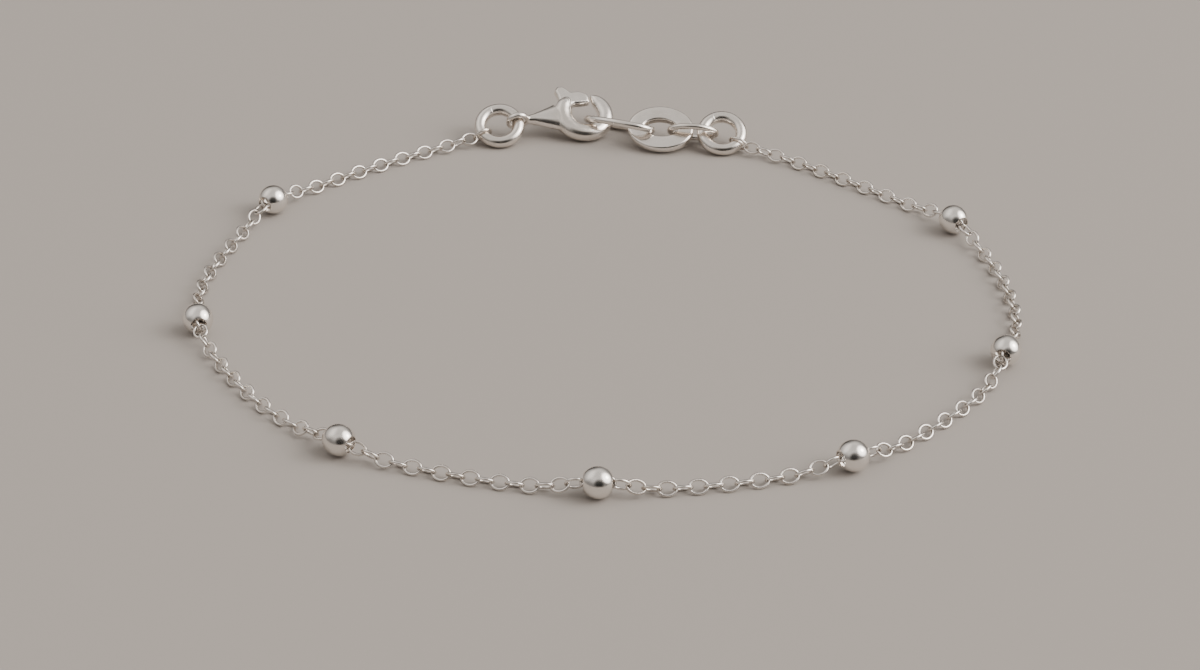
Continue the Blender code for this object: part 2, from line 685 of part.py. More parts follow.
def build_lever():
    bm = bmesh.new()
    outline = []
    for part, share, angle in LEVER_OUTLINE:
        point = direction(angle) * share * JAW_RADIUS
        if part == "root":
            point += PIVOT
        outline.append(bm.verts.new(point - Vector((0, 0, LEVER_HALF))))
    face = bm.faces.new(outline)
    lifted = bmesh.ops.extrude_face_region(bm, geom=[face])
    top = [v for v in lifted["geom"] if isinstance(v, bmesh.types.BMVert)]
    bmesh.ops.translate(bm, vec=(0, 0, 2 * LEVER_HALF), verts=top)
    bmesh.ops.translate(bm, vec=-PIVOT, verts=bm.verts[:])
    lever = add_object("clasp_lever", bm, CLASP_SILVER, smooth=False)

    bm = bmesh.new()
    radius = PIN_RADIUS + PIN_CLEARANCE
    bmesh.ops.create_cone(bm, cap_ends=True, segments=10, radius1=radius, radius2=radius, depth=2 * JAW_RADIUS)
    bore = as_cutter(add_object("lever_bore", bm, None, collection=CUTTERS))
    add_boolean(lever, bore, "DIFFERENCE")

    pivot = bpy.data.objects.new("lever_pivot", None)
    pivot.empty_display_size = JAW_RADIUS * MM
    BRACELET.objects.link(pivot)
    pivot.matrix_world = CLASP_FRAME @ Matrix.Translation(PIVOT)
    pivot.location = pivot.location * MM
    lever.parent = pivot
    bore.parent = pivot
    return lever


build_lever()
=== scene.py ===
# Beaded chain bracelet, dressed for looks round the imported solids.
# Pieces are made at the bench in millimetres, then shrunk to metres and laid in their places on the table.
import math

import bmesh
import bpy
import numpy as np
from mathutils import Matrix, Vector


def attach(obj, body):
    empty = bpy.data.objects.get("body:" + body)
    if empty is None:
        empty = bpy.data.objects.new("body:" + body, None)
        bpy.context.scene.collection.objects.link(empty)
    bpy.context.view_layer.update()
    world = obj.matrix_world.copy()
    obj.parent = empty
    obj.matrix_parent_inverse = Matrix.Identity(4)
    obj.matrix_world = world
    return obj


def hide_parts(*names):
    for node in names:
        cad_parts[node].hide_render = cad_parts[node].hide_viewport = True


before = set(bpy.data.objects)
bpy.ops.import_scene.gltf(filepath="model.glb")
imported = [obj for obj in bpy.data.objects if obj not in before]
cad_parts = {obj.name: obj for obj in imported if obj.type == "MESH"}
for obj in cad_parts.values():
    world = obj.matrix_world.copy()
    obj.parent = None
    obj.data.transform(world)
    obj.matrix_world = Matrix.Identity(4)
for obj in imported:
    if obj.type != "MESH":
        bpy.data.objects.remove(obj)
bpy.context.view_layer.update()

MM = 0.001


# Cable chain link: an oval of round sterling wire, soldered shut and tumbled bright.
# One link is a wire hoop drawn out to an oval, and the others are copies of it. The link at each end of the
# chain is larger, for the thick wire of its jump ring.
PITCH = 1.16
WIRE_RADIUS = 0.12
LINK_INNER_HALF_WIDTH = 0.42
END_LINK_HALF_WIDTH = 0.65
END_LINK_STRETCH = 0.34
LINK_STATIONS = 20
LINK_WIRE_SIDES = 5
LINK_SECTION_REACH = 1.05 * WIRE_RADIUS
CONTACT_SHADE_REACH = 2.4 * WIRE_RADIUS
SAME_PLACE = 0.001


def direction(degrees):
    return Vector((math.cos(math.radians(degrees)), math.sin(math.radians(degrees)), 0.0))


def clear_bench():
    if bpy.context.object and bpy.context.object.mode == "EDIT":
        bpy.ops.object.mode_set(mode="OBJECT")
    bpy.ops.object.select_all(action="DESELECT")


def pick(piece, wanted):
    """In edit mode, selects the points of the piece whose place the test accepts."""
    bpy.ops.mesh.select_mode(type="VERT")
    bpy.ops.mesh.select_all(action="DESELECT")
    bm = bmesh.from_edit_mesh(piece.data)
    for vert in bm.verts:
        vert.select = wanted(vert.co)
    bm.select_flush_mode()
    bmesh.update_edit_mesh(piece.data)


def name_new(name):
    piece = bpy.context.object
    piece.name = name
    piece.data.name = name
    return piece


def only(piece):
    bpy.ops.object.select_all(action="DESELECT")
    piece.select_set(True)
    bpy.context.view_layer.objects.active = piece


def copy_of(piece, name):
    double = piece.copy()
    double.data = piece.data.copy()
    double.name = name
    bpy.context.scene.collection.objects.link(double)
    return double


def lay(pieces, places):
    """Shrinks finished bench pieces to metres at their places and leaves each with its place in its mesh."""
    bpy.ops.object.select_all(action="DESELECT")
    for piece, place in zip(pieces, places):
        piece.matrix_world = Matrix.Scale(MM, 4) @ place
        piece.select_set(True)
    bpy.context.view_layer.objects.active = pieces[0]
    bpy.ops.object.transform_apply(location=True, rotation=True, scale=True)


def weld(pieces, name):
    """Joins several pieces into one object with one mesh."""
    bpy.ops.object.select_all(action="DESELECT")
    for piece in pieces:
        piece.select_set(True)
    bpy.context.view_layer.objects.active = pieces[0]
    if len(pieces) > 1:
        bpy.ops.object.join()
    return name_new(name)


def bend_link(name, half_width, pitch):
    """One link, with an attribute that grows to 1 where its wire meets its neighbours, marking where shade is
    painted.
    """
    clear_bench()
    bpy.ops.mesh.primitive_torus_add(
        major_segments=LINK_STATIONS, minor_segments=LINK_WIRE_SIDES,
        major_radius=half_width + WIRE_RADIUS, minor_radius=WIRE_RADIUS)
    link = name_new(name)
    bpy.ops.object.mode_set(mode="EDIT")
    reach = pitch / 2 - half_width
    hoop_radius = half_width + WIRE_RADIUS
    for station in range(LINK_STATIONS):
        there = direction(360.0 * station / LINK_STATIONS)
        pick(link, lambda place: (place - there * hoop_radius).length < LINK_SECTION_REACH
             and abs(place.cross(there).z) < SAME_PLACE)
        bpy.ops.transform.translate(value=(reach * there.x, 0, 0))
    bpy.ops.object.mode_set(mode="OBJECT")
    bpy.ops.object.shade_smooth()
    # Painted shade: this attribute rises where the wire meets the next links, where shade falls, and the
    # silver darkens by it.
    contact_shade = link.data.attributes.new("contact_shade", "FLOAT", "POINT")
    for index, vert in enumerate(link.data.vertices):
        away = math.hypot(abs(vert.co.x) - pitch / 2, vert.co.y)
        contact_shade.data[index].value = max(0.0, 1.0 - away / CONTACT_SHADE_REACH)
    return link


link = bend_link("link", LINK_INNER_HALF_WIDTH, PITCH)
end_link = bend_link("end_link", END_LINK_HALF_WIDTH, PITCH + END_LINK_STRETCH)


# Polished silver, shared by every piece: bright warm-white metal with hairline scratches from wear,
# a soft haze left by the polishing wheel and a faint yellowish tarnish in broad patches.
DENT_DEPTH = 0.5
SCRATCH_DEPTH = 0.6
SCRATCH_ROUGHNESS = 0.10
# The painted shade where chain links meet is the tarnish colour at this share of its brightness.
PAINTED_SHADE_TONE = 0.35


def socket(group, name, way, kind, value=None):
    made = group.interface.new_socket(name=name, in_out=way, socket_type=kind)
    if value is not None:
        made.default_value = value
    return made


def add_node(tree, kind, **settings):
    node = tree.nodes.new(kind)
    for key, value in settings.items():
        setattr(node, key, value)
    return node


def build_wear_group():
    group = bpy.data.node_groups.new("silver_wear", "ShaderNodeTree")
    socket(group, "Polish", "INPUT", "NodeSocketFloat", 0.12)
    socket(group, "Haze", "INPUT", "NodeSocketFloat", 0.08)
    socket(group, "Tarnish", "INPUT", "NodeSocketFloat", 0.3)
    socket(group, "Scratches", "INPUT", "NodeSocketFloat", 0.5)
    socket(group, "Tarnish Mask", "OUTPUT", "NodeSocketFloat")
    socket(group, "Roughness", "OUTPUT", "NodeSocketFloat")
    socket(group, "Height", "OUTPUT", "NodeSocketFloat")
    links = group.links
    given = add_node(group, "NodeGroupInput")
    result = add_node(group, "NodeGroupOutput")
    place = add_node(group, "ShaderNodeTexCoord")

    def noise(scale, detail, vector=None):
        node = add_node(group, "ShaderNodeTexNoise")
        node.inputs["Scale"].default_value = scale
        node.inputs["Detail"].default_value = detail
        links.new(vector or place.outputs["Object"], node.inputs["Vector"])
        return node.outputs["Fac"]

    def spread(value, low, high):
        node = add_node(group, "ShaderNodeMapRange", interpolation_type="SMOOTHSTEP")
        links.new(value, node.inputs["Value"])
        node.inputs["From Min"].default_value = low
        node.inputs["From Max"].default_value = high
        return node.outputs["Result"]

    def combine(how, first, second):
        node = add_node(group, "ShaderNodeMath", operation=how)
        for number, value in enumerate((first, second)):
            if isinstance(value, (int, float)):
                node.inputs[number].default_value = value
            else:
                links.new(value, node.inputs[number])
        return node.outputs[0]

    def hairlines(turn, along, across, low, high):
        mapping = add_node(group, "ShaderNodeMapping")
        mapping.inputs["Rotation"].default_value = turn
        mapping.inputs["Scale"].default_value = (along, across, across)
        links.new(place.outputs["Object"], mapping.inputs["Vector"])
        return spread(noise(scale=1.0, detail=2.0, vector=mapping.outputs["Vector"]), low, high)

    patches = spread(noise(scale=260.0, detail=3.0), low=0.42, high=0.68)
    links.new(combine("MULTIPLY", patches, given.outputs["Tarnish"]), result.inputs["Tarnish Mask"])

    haze = spread(noise(scale=1500.0, detail=4.0), low=0.35, high=0.70)
    lines = combine(
        "MAXIMUM",
        hairlines(turn=(0.3, 0.2, 0.5), along=260.0, across=9000.0, low=0.62, high=0.70),
        hairlines(turn=(1.1, 0.7, 2.1), along=300.0, across=11000.0, low=0.63, high=0.71))
    lines = combine("MULTIPLY", lines, given.outputs["Scratches"])
    roughness = combine("ADD", given.outputs["Polish"], combine("MULTIPLY", haze, given.outputs["Haze"]))
    roughness = combine("ADD", roughness, combine("MULTIPLY", lines, SCRATCH_ROUGHNESS))
    links.new(roughness, result.inputs["Roughness"])

    dents = combine("MULTIPLY", noise(scale=2600.0, detail=2.0), DENT_DEPTH)
    scores = combine("MULTIPLY", lines, SCRATCH_DEPTH)
    links.new(combine("SUBTRACT", dents, scores), result.inputs["Height"])
    return group


silver_wear = build_wear_group()


def silver(name, colour, tarnished, polish, haze, tarnish, scratches, relief, painted_shade_strength=0.0):
    """A silver finish. Its last argument sets how dark a painted shade grows where the mesh's attribute marks
    links meeting.
    """
    material = bpy.data.materials.new(name)
    material.use_nodes = True
    tree = material.node_tree
    shader = tree.nodes["Principled BSDF"]
    shader.inputs["Metallic"].default_value = 1.0
    wear = add_node(tree, "ShaderNodeGroup", node_tree=silver_wear)
    wear.inputs["Polish"].default_value = polish
    wear.inputs["Haze"].default_value = haze
    wear.inputs["Tarnish"].default_value = tarnish
    wear.inputs["Scratches"].default_value = scratches
    tint = add_node(tree, "ShaderNodeMix", data_type="RGBA")
    tint.inputs["A"].default_value = (*colour, 1.0)
    tint.inputs["B"].default_value = (*tarnished, 1.0)
    tree.links.new(wear.outputs["Tarnish Mask"], tint.inputs["Factor"])
    shade = tint.outputs["Result"]
    # Painted shade where the links meet: the colour sinks towards a dark tarnish tone by the mesh's
    # attribute.
    if painted_shade_strength:
        painted_shade = add_node(tree, "ShaderNodeAttribute", attribute_name="contact_shade")
        depth = add_node(tree, "ShaderNodeMath", operation="MULTIPLY")
        tree.links.new(painted_shade.outputs["Fac"], depth.inputs[0])
        depth.inputs[1].default_value = painted_shade_strength
        darken = add_node(tree, "ShaderNodeMix", data_type="RGBA")
        tree.links.new(depth.outputs[0], darken.inputs["Factor"])
        tree.links.new(shade, darken.inputs["A"])
        darken.inputs["B"].default_value = (*[part * PAINTED_SHADE_TONE for part in tarnished], 1.0)
        shade = darken.outputs["Result"]
    tree.links.new(shade, shader.inputs["Base Color"])
    tree.links.new(wear.outputs["Roughness"], shader.inputs["Roughness"])
    bump = add_node(tree, "ShaderNodeBump")
    bump.inputs["Strength"].default_value = 1.0
    bump.inputs["Distance"].default_value = relief * MM
    tree.links.new(wear.outputs["Height"], bump.inputs["Height"])
    tree.links.new(bump.outputs["Normal"], shader.inputs["Normal"])
    return material


def dress(piece, material, body, slot, *nodes):
    """Gives a finished piece its silver, the body it moves with and the solids it stands for."""
    piece.data.materials.clear()
    piece.data.materials.append(material)
    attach(piece, body)
    if nodes:
        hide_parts(*nodes)
    return piece


# The chain's silver paints shade where its links meet.
chain_silver = silver("chain_silver", (0.92, 0.875, 0.83), (0.68, 0.60, 0.51), polish=0.13, haze=0.07,
                      tarnish=0.35, scratches=0.4, relief=0.004, painted_shade_strength=0.7)


# The chain: 149 silver links in one run, threaded through the beads and held by a jump ring at each end.
# It lies in the round that the photograph shows, dips to the table between beads and rises into each of them.
BEAD_DIAMETER = 2.5
CHAIN_REST_HEIGHT = 0.51
CHAIN_RISE_REACH = 4.2
CHAIN_RING_REACH = 6.0
JUMP_RING_RADIUS = 1.74
JUMP_RING_WIRE = 0.54
JUMP_RING_TILT = 30.0
THREAD_GAP = 0.11
RING_ROLL = 18.0
RING_ROLL_LINKS = 5
BEAD_ROLLS = (-24.0, -8.0, -3.0)
LEFT_HOLD_ANGLE = 215.0
RIGHT_HOLD_ANGLE = 325.0
LINK_LEAN = 45.0
QUARTER_TURN = 90.0
HIDDEN_LINK_TURN = 60.0
RISE_POWER = 1.5
ROUTE_STEPS = 60
OUTWARD_STEPS = 12
RING_LEFT_CENTRE = Vector((-10.15, 26.53, 1.42))
RING_RIGHT_CENTRE = Vector((10.07, 26.37, 1.42))
BEAD_PLACES = [
    (-29.12, 11.91), (-33.00, -8.24), (-20.05, -25.25), (-0.32, -29.89),
    (19.04, -25.26), (32.23, -9.37), (29.89, 11.97),
]
ROUTE_BETWEEN = [
    [(-17.87, 21.91), (-25.01, 16.33)],
    [(-31.10, 7.51), (-33.36, -1.04)],
    [(-31.06, -12.79), (-26.46, -19.59)],
    [(-14.36, -27.49), (-7.70, -29.14)],
    [(6.94, -29.04), (13.64, -27.39)],
    [(23.44, -22.09), (29.44, -15.29)],
    [(33.74, -3.09), (32.74, 5.31)],
    [(25.74, 16.11), (16.94, 22.76)],
]
STRINGS = [
    {"pitches": 20, "leans_first": 1},
    {"pitches": 18, "leans_first": 2},
    {"pitches": 19, "leans_first": 1},
    {"pitches": 18, "leans_first": 1},
    {"pitches": 17, "leans_first": 2},
    {"pitches": 18, "leans_first": 2},
    {"pitches": 19, "leans_first": 2},
    {"pitches": 20, "leans_first": 2},
]


def placed(centre, tilt, yaw=0.0):
    """A frame at centre, its far edge raised by tilt degrees about its own x, turned by yaw about z."""
    turn = Matrix.Rotation(math.radians(yaw), 4, "Z") @ Matrix.Rotation(math.radians(tilt), 4, "X")
    return Matrix.Translation(centre) @ turn


def ring_point(centre, degrees):
    return placed(centre, JUMP_RING_TILT) @ (direction(degrees) * JUMP_RING_RADIUS)


def smooth_curve(points, steps):
    """A Catmull-Rom curve through all points, and where each of them is on it."""
    padded = [2 * points[0] - points[1]] + points + [2 * points[-1] - points[-2]]
    curve = []
    marks = []
    for i in range(1, len(padded) - 2):
        p0, p1, p2, p3 = padded[i - 1:i + 3]
        marks.append(len(curve))
        for j in range(steps):
            t = j / steps
            curve.append(0.5 * (2 * p1 + (p2 - p0) * t + (2 * p0 - 5 * p1 + 4 * p2 - p3) * t ** 2
                                + (3 * p1 - p0 - 3 * p2 + p3) * t ** 3))
    marks.append(len(curve))
    curve.append(points[-1])
    return np.array(curve), marks


def travelled_along(path):
    return np.concatenate([[0.0], np.cumsum(np.linalg.norm(np.diff(path, axis=0), axis=1))])


def even_points(path, count):
    lengths = travelled_along(path)
    wanted = np.linspace(0.0, lengths[-1], count + 1)
    return [Vector([np.interp(w, lengths, path[:, axis]) for axis in range(3)]) for w in wanted]


def outward_from(path, end, inner):
    way = path[end] - path[inner]
    return way / np.linalg.norm(way)


def lay_route():
    """The points where one link bears on the next, a list for each string between two beads."""
    left = ring_point(RING_LEFT_CENTRE, LEFT_HOLD_ANGLE)
    right = ring_point(RING_RIGHT_CENTRE, RIGHT_HOLD_ANGLE)
    flat = []
    fixed = []
    for number, start in enumerate([(left.x, left.y)] + BEAD_PLACES):
        fixed.append(len(flat))
        flat.append(np.array(start))
        flat.extend(np.array(p) for p in ROUTE_BETWEEN[number])
    fixed.append(len(flat))
    flat.append(np.array((right.x, right.y)))
    route, marks = smooth_curve(flat, ROUTE_STEPS)
    marks = [marks[i] for i in fixed]
    travelled = travelled_along(route)
    heights = np.full(len(route), CHAIN_REST_HEIGHT)
    for mark in marks[1:-1]:
        near = np.clip(1 - (np.abs(travelled - travelled[mark]) - PITCH) / CHAIN_RISE_REACH, 0, 1)
        rise = BEAD_DIAMETER / 2 - CHAIN_REST_HEIGHT
        heights = np.maximum(heights, CHAIN_REST_HEIGHT + rise * near ** RISE_POWER)
    for mark, hold in ((marks[0], left), (marks[-1], right)):
        near = np.clip(1 - np.abs(travelled - travelled[mark]) / CHAIN_RING_REACH, 0, 1)
        heights = np.maximum(heights, CHAIN_REST_HEIGHT + (hold.z - CHAIN_REST_HEIGHT) * near ** RISE_POWER)
    route = np.column_stack([route, heights])
    overlap = JUMP_RING_WIRE + THREAD_GAP
    strings = []
    for number, string in enumerate(STRINGS):
        path = route[marks[number]:marks[number + 1] + 1]
        if number == 0:
            outward = outward_from(path, 0, OUTWARD_STEPS)
            path = np.vstack([path[0] + outward * (overlap - END_LINK_STRETCH), path])
        if number == len(STRINGS) - 1:
            outward = outward_from(path, -1, -1 - OUTWARD_STEPS)
            path = np.vstack([path, path[-1] + outward * (overlap - END_LINK_STRETCH)])
        points = even_points(path, string["pitches"])
        if number == 0:
            points[0] += Vector(outward * END_LINK_STRETCH)
        if number == len(STRINGS) - 1:
            points[-1] += Vector(outward * END_LINK_STRETCH)
        strings.append(points)
    return strings


def bearing_frames(number, points):
    """For each bearing point, the two directions at right angles in which its links lie."""
    pitches = len(points) - 1
    frames = []
    for index, here in enumerate(points):
        along = (points[min(index + 1, pitches)] - points[max(index - 1, 0)]).normalized()
        roll = 0.0
        if number == 0:
            roll = RING_ROLL * max(0.0, 1 - index / RING_ROLL_LINKS)
        if number == len(STRINGS) - 1:
            roll = RING_ROLL * max(0.0, 1 - (pitches - index) / RING_ROLL_LINKS)
        level = Vector((0, 0, 1)).cross(along).normalized()
        angle = math.radians(LINK_LEAN + roll)
        first = level * math.cos(angle) + along.cross(level) * math.sin(angle)
        frames.append({"at": here, "first": first, "second": along.cross(first)})
    return frames


def link_turns(all_frames):
    """How far each link is turned about the chain, from its frame's first direction, in degrees.

    Neighbours stand about a quarter turn apart, and roll a little where they enter a bead. The two links
    hidden in it share out the twist between the strings on its two sides.
    """
    turns = []
    for number, frames in enumerate(all_frames):
        middle = frames[STRINGS[number]["pitches"] // 2]
        back_first = middle["first"].y >= middle["second"].y
        row = []
        for index in range(STRINGS[number]["pitches"]):
            leans = (index - STRINGS[number]["leans_first"]) % 2 == 0
            row.append(0.0 if leans == back_first else QUARTER_TURN)
        turns.append(row)
    for before, after in zip(turns, turns[1:]):
        step = HIDDEN_LINK_TURN if before[-2] == after[1] else QUARTER_TURN
        for away, roll in enumerate(BEAD_ROLLS):
            before[-2 - away] += roll
            after[1 + away] += roll
        before[-1] = before[-2] + step
        after[0] = before[-2] + 2 * step
    return turns


def link_place(start, end, turn, pitch):
    along = (end["at"] - start["at"]).normalized()
    lean = (start["first"] + end["first"]) * math.cos(math.radians(turn))
    lean += (start["second"] + end["second"]) * math.sin(math.radians(turn))
    across = (lean - along * lean.dot(along)).normalized()
    turned = Matrix((along, across, along.cross(across))).transposed().to_4x4()
    stretch = Matrix.Diagonal(((end["at"] - start["at"]).length / pitch, 1, 1, 1))
    return Matrix.Translation((start["at"] + end["at"]) / 2) @ turned @ stretch


strings = lay_route()
bearings = [bearing_frames(number, points) for number, points in enumerate(strings)]
turns = link_turns(bearings)
last_link = (len(STRINGS) - 1, STRINGS[-1]["pitches"] - 1)
for half, numbers in (("left", range(0, 4)), ("right", range(4, 8))):
    copies = []
    places = []
    for number in numbers:
        for index, turn in enumerate(turns[number]):
            at_ring = (number, index) in ((0, 0), last_link)
            copies.append(copy_of(end_link if at_ring else link, "link_%d_%d" % (number, index)))
            pitch = PITCH + END_LINK_STRETCH if at_ring else PITCH
            places.append(link_place(bearings[number][index], bearings[number][index + 1], turn, pitch))
    lay(copies, places)
    chain = weld(copies, "links_" + half)
    dress(chain, chain_silver, "bracelet", "silver_chain", "chain_" + half)
bpy.data.objects.remove(link, do_unlink=True)
bpy.data.objects.remove(end_link, do_unlink=True)


# Beads: hollow silver balls pressed from tube, which leaves them a little long, with a wide hole that the
# chain passes through. The wall's profile is spun about the hole, and its rims are softened by tumbling.
BEAD_HOLE_RADIUS = 0.66
BEAD_STRETCH = 1.06
BEAD_WALL = 0.15
BEAD_PROFILE_STEPS = 72
BEAD_INNER_STEPS = 24
BEAD_SPIN_STEPS = 48
BEAD_RIM_ROUND = 0.035
WELD_DISTANCE = 0.0005


def draw_wall(bead, along, out):
    """Extrudes the picked end of the wall on each side to a new place, along the hole and out from it."""
    bpy.ops.mesh.extrude_region_move()
    bm = bmesh.from_edit_mesh(bead.data)
    for vert in bm.verts:
        if vert.select:
            vert.co = Vector((math.copysign(along, vert.co.x), 0, out))
    bmesh.update_edit_mesh(bead.data)


def build_bead():
    clear_bench()
    radius = BEAD_DIAMETER / 2
    bpy.ops.mesh.primitive_circle_add(
        vertices=BEAD_PROFILE_STEPS, radius=radius, rotation=(math.pi / 2, 0, 0))
    bead = name_new("bead")
    bpy.ops.object.transform_apply(location=True, rotation=True, scale=True)
    bpy.ops.object.mode_set(mode="EDIT")
    pick(bead, lambda place: place.z < BEAD_HOLE_RADIUS)
    bpy.ops.mesh.delete(type="VERT")
    bm = bmesh.from_edit_mesh(bead.data)
    lowest = min(vert.co.z for vert in bm.verts)
    pick(bead, lambda place: place.z < lowest + SAME_PLACE)
    inner = radius - BEAD_WALL
    for wall_radius in (radius, inner):
        draw_wall(bead, math.sqrt(wall_radius ** 2 - BEAD_HOLE_RADIUS ** 2), BEAD_HOLE_RADIUS)
    rim = math.asin(BEAD_HOLE_RADIUS / inner)
    for step in range(1, BEAD_INNER_STEPS):
        angle = rim + (math.pi / 2 - rim) * step / BEAD_INNER_STEPS
        draw_wall(bead, inner * math.cos(angle), inner * math.sin(angle))
    bpy.ops.mesh.edge_face_add()
    bpy.ops.mesh.select_all(action="SELECT")
    bpy.ops.mesh.spin(steps=BEAD_SPIN_STEPS, angle=2 * math.pi, center=(0, 0, 0), axis=(1, 0, 0))
    bpy.ops.mesh.select_all(action="SELECT")
    bpy.ops.mesh.remove_doubles(threshold=WELD_DISTANCE)
    bpy.ops.mesh.normals_make_consistent(inside=False)
    bm = bmesh.from_edit_mesh(bead.data)
    bpy.ops.mesh.select_mode(type="EDGE")
    bpy.ops.mesh.select_all(action="DESELECT")
    for line in bm.edges:
        first, second = [vert.co for vert in line.verts]
        on_hole = all(abs(place.yz.length - BEAD_HOLE_RADIUS) < SAME_PLACE for place in (first, second))
        line.select = on_hole and abs(first.x - second.x) < SAME_PLACE
    bmesh.update_edit_mesh(bead.data)
    bpy.ops.mesh.bevel(offset=BEAD_RIM_ROUND, segments=3, affect="EDGES")
    bpy.ops.mesh.select_all(action="SELECT")
    bpy.ops.transform.resize(value=(BEAD_STRETCH, 1, 1))
    bpy.ops.object.mode_set(mode="OBJECT")
    bpy.ops.object.shade_smooth()
    return bead


bead_silver = silver("bead_silver", (0.93, 0.89, 0.85), (0.72, 0.64, 0.56), polish=0.13, haze=0.07,
                     tarnish=0.25, scratches=0.6, relief=0.003)
bead = build_bead()
for number in range(len(BEAD_PLACES)):
    before = strings[number][-2]
    after = strings[number + 1][1]
    along = Vector((after.x - before.x, after.y - before.y, 0)).normalized()
    centre = (before + after) / 2
    centre.z = BEAD_DIAMETER / 2
    level = Vector((0, 0, 1)).cross(along).normalized()
    turned = Matrix((along, level, Vector((0, 0, 1)))).transposed().to_4x4()
    ball = copy_of(bead, "ball_%d" % (number + 1))
    lay([ball], [Matrix.Translation(centre) @ turned])
    dress(ball, bead_silver, "bracelet", "silver_bead", "bead_%d" % (number + 1))
bpy.data.objects.remove(bead, do_unlink=True)


# Jump rings: thick round wire closed into a hoop, with the fine butt joint of the sawn ends left showing.
# The two are alike and hold the ends of the chain.
RING_STATIONS = 96
RING_WIRE_SIDES = 20
RING_SEAM_ANGLE = 118.0
SEAM_HALF = 0.022
SEAM_DEPTH = 0.03
SEAM_REACH = 1.5

clasp_silver = silver("clasp_silver", (0.92, 0.875, 0.83), (0.68, 0.60, 0.51), polish=0.15, haze=0.10,
                      tarnish=0.35, scratches=0.7, relief=0.004)


def wire_hoop(name, half_length, half_width, wire):
    """Round wire bent to an oval, from a curve with a round section."""
    clear_bench()
    bpy.ops.curve.primitive_bezier_circle_add(radius=1.0)
    hoop = name_new(name)
    hoop.scale = (half_length, half_width, 1.0)
    bpy.ops.object.transform_apply(location=True, rotation=True, scale=True)
    for point in hoop.data.splines[0].bezier_points:
        point.radius = 1.0
    hoop.data.resolution_u = RING_STATIONS // 4
    hoop.data.bevel_depth = wire
    hoop.data.bevel_resolution = RING_WIRE_SIDES // 2 - 2
    bpy.ops.object.convert(target="MESH")
    bpy.ops.object.mode_set(mode="EDIT")
    bpy.ops.mesh.select_all(action="SELECT")
    bpy.ops.mesh.remove_doubles(threshold=WELD_DISTANCE)
    bpy.ops.mesh.normals_make_consistent(inside=False)
    bpy.ops.object.mode_set(mode="OBJECT")
    bpy.ops.object.shade_smooth()
    return hoop


def score_seam(hoop, centre, wire):
    """Sinks a fine groove round the wire at one place, where the sawn ends meet."""
    only(hoop)
    bpy.ops.object.mode_set(mode="EDIT")
    radial = Vector((centre.x, centre.y, 0)).normalized()
    tangent = Vector((-radial.y, radial.x, 0))
    for step in (-SEAM_HALF, 0.0, SEAM_HALF):
        bpy.ops.mesh.select_all(action="SELECT")
        bpy.ops.mesh.bisect(plane_co=centre + tangent * step, plane_no=tangent)
    pick(hoop, lambda place: abs((place - centre).dot(tangent)) < SEAM_HALF / 2
         and (place - centre).length < SEAM_REACH * wire)
    shrink = 1 - SEAM_DEPTH / wire
    bpy.ops.transform.resize(value=(shrink, shrink, shrink), center_override=centre)
    bpy.ops.object.mode_set(mode="OBJECT")


hoop = wire_hoop("hoop", JUMP_RING_RADIUS, JUMP_RING_RADIUS, JUMP_RING_WIRE)
score_seam(hoop, direction(RING_SEAM_ANGLE) * JUMP_RING_RADIUS, JUMP_RING_WIRE)
for side, centre in (("left", RING_LEFT_CENTRE), ("right", RING_RIGHT_CENTRE)):
    ring = copy_of(hoop, "ring_" + side)
    lay([ring], [placed(centre, JUMP_RING_TILT)])
    dress(ring, clasp_silver, "bracelet", "silver_clasp", "jump_ring_" + side)
bpy.data.objects.remove(hoop, do_unlink=True)


# Oval tag: a flat oval washer punched from thick silver sheet, its edges rounded by tumbling.
# It hangs between the connector and the small link, and it is left bare.
TAG_HALF_LENGTH = 3.00
TAG_HALF_WIDTH = 2.40
TAG_RIM = 1.48
TAG_THICKNESS = 0.80
TAG_ROUND = 0.26
TAG_STATIONS = 96
TAG_SHARP_ANGLE = 0.8
TAG_TILT = 26.0
TAG_YAW = -6.0
TAG_CENTRE = Vector((4.50, 26.65, 1.48))
TAG_FRAME = placed(TAG_CENTRE, TAG_TILT, TAG_YAW)


def pick_level_faces(piece):
    """In edit mode, selects the faces of the piece that lie level on the bench."""
    bpy.ops.mesh.select_mode(type="FACE")
    bpy.ops.mesh.select_all(action="DESELECT")
    bm = bmesh.from_edit_mesh(piece.data)
    for face in bm.faces:
        face.select = abs(face.normal.z) > 0.9
    bmesh.update_edit_mesh(piece.data)


def build_tag():
    clear_bench()
    bpy.ops.mesh.primitive_cylinder_add(vertices=TAG_STATIONS, radius=1.0, depth=TAG_THICKNESS)
    tag = name_new("tag")
    tag.scale = (TAG_HALF_LENGTH, TAG_HALF_WIDTH, 1.0)
    bpy.ops.object.transform_apply(location=True, rotation=True, scale=True)
    bpy.ops.object.mode_set(mode="EDIT")
    pick_level_faces(tag)
    bpy.ops.mesh.inset(thickness=TAG_RIM, depth=0.0)
    bpy.ops.mesh.bridge_edge_loops()
    bpy.ops.mesh.select_mode(type="EDGE")
    bpy.ops.mesh.select_all(action="DESELECT")
    bm = bmesh.from_edit_mesh(tag.data)
    for line in bm.edges:
        if len(line.link_faces) == 2 and abs(line.verts[0].co.z - line.verts[1].co.z) < SAME_PLACE:
            line.select = line.calc_face_angle() > TAG_SHARP_ANGLE
    bmesh.update_edit_mesh(tag.data)
    bpy.ops.mesh.bevel(offset=TAG_ROUND, segments=5, affect="EDGES")
    bpy.ops.mesh.select_all(action="SELECT")
    bpy.ops.mesh.normals_make_consistent(inside=False)
    bpy.ops.object.mode_set(mode="OBJECT")
    bpy.ops.object.shade_smooth()
    return tag


tag = build_tag()
lay([tag], [TAG_FRAME])
dress(tag, clasp_silver, "bracelet", "silver_clasp", "oval_tag")


